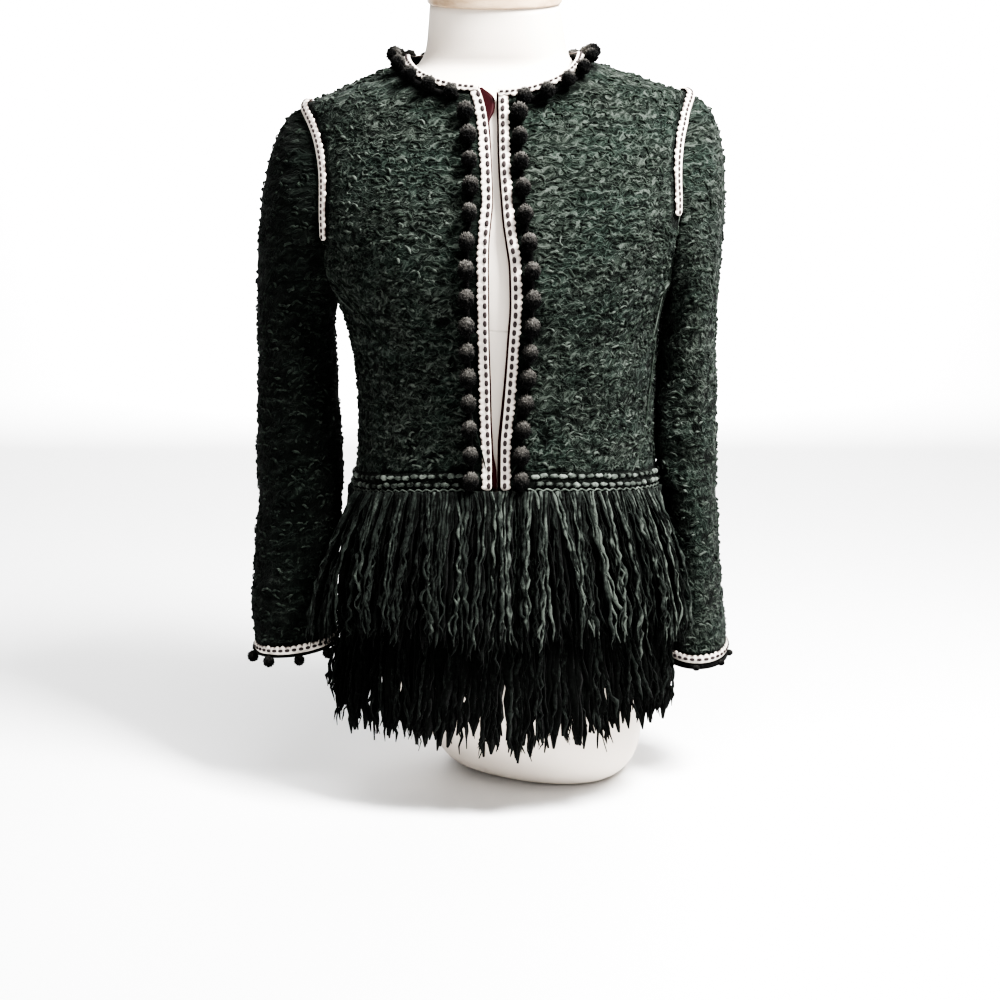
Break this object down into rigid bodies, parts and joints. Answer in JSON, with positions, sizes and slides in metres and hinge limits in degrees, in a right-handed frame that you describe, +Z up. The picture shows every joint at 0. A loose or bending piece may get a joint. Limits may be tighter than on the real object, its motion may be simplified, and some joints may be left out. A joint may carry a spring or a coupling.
{
  "type": "cropped tweed jacket on a dress form",
  "caption": "Collarless cropped tweed jacket with braided edges, pompom trim and a tiered yarn fringe at its hem, worn on a limbless dress form that stands on its flat underside.",
  "frame": {"origin": "on the dress form's flat underside, right under the body's axis, at the height of the surface it stands on", "axes": "+Z up; the jacket's front faces -Y; +X is the wearer's left"},
  "size_m": [0.4838, 0.3012, 0.782],
  "materials": {
    "tweed": "matte boucle tweed of dark green-black slub yarn",
    "facing_satin": "burgundy satin facing with a soft sheen",
    "braid_white": "matte off-white cotton braid with a row of black dashes",
    "braid_black": "black bobble braid with a slight lustre",
    "pompom_wool": "black cut wool pile",
    "fringe_yarn": "black-green wavy yarn",
    "form_cloth": "cream cloth stretched over a padded form",
    "cap_wood": "pale matte wood"
  },
  "bodies": {
    "root": {"back": "tweed", "braid_armhole_left": "braid_white", "braid_armhole_right": "braid_white", "braid_cuff_left": "braid_white", "braid_cuff_right": "braid_white", "braid_front_left": "braid_white", "braid_front_right": "braid_white", "braid_neck": "braid_white", "braid_waist": "braid_black", "dress_form": "form_cloth", "facing_left": "facing_satin", "facing_right": "facing_satin", "fringe_lower": "fringe_yarn", "fringe_upper": "fringe_yarn", "front_left": "tweed", "front_right": "tweed", "neck_cap": "cap_wood", "peplum": "tweed", "pompoms_cuff_left": "pompom_wool", "pompoms_cuff_right": "pompom_wool", "pompoms_front_left": "pompom_wool", "pompoms_front_right": "pompom_wool", "pompoms_neck": "pompom_wool", "sleeve_left": "tweed", "sleeve_right": "tweed"}
  },
  "joints": []
}
